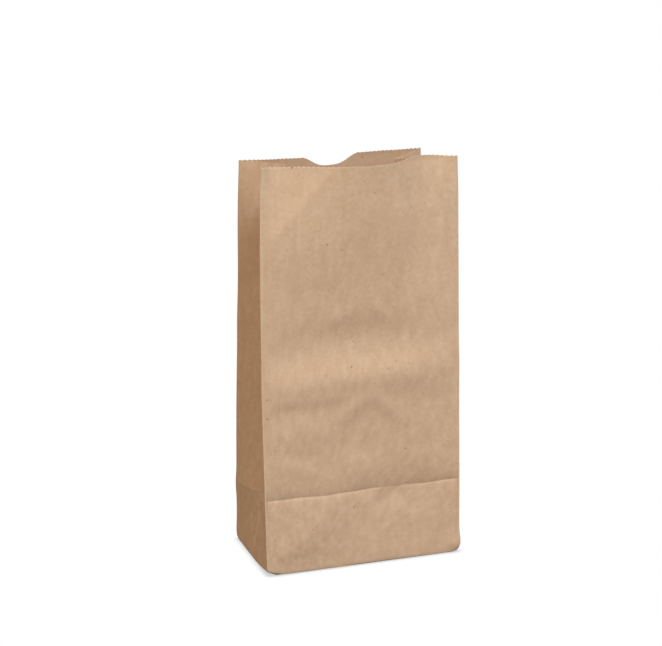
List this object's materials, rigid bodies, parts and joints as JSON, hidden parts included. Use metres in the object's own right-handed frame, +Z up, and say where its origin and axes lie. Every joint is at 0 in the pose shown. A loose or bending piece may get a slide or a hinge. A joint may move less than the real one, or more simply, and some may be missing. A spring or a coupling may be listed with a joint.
{
  "type": "paper bag",
  "caption": "Open kraft paper bag with gusseted sides, a folded block bottom, a saw-toothed mouth and a thumb notch, standing on its own.",
  "frame": {"origin": "middle of the foot's underside, on the surface that the bag stands on", "axes": "+Z up, out of the mouth; +X to the right across the front panel; -Y out of the front panel, so the panel with the thumb notch and the lapped seam is at +Y"},
  "size_m": [0.1335, 0.0879, 0.2497],
  "materials": {
    "kraft_paper": "unbleached brown kraft paper, matt"
  },
  "bodies": {
    "root": {"paper_bag": "kraft_paper"}
  },
  "joints": []
}
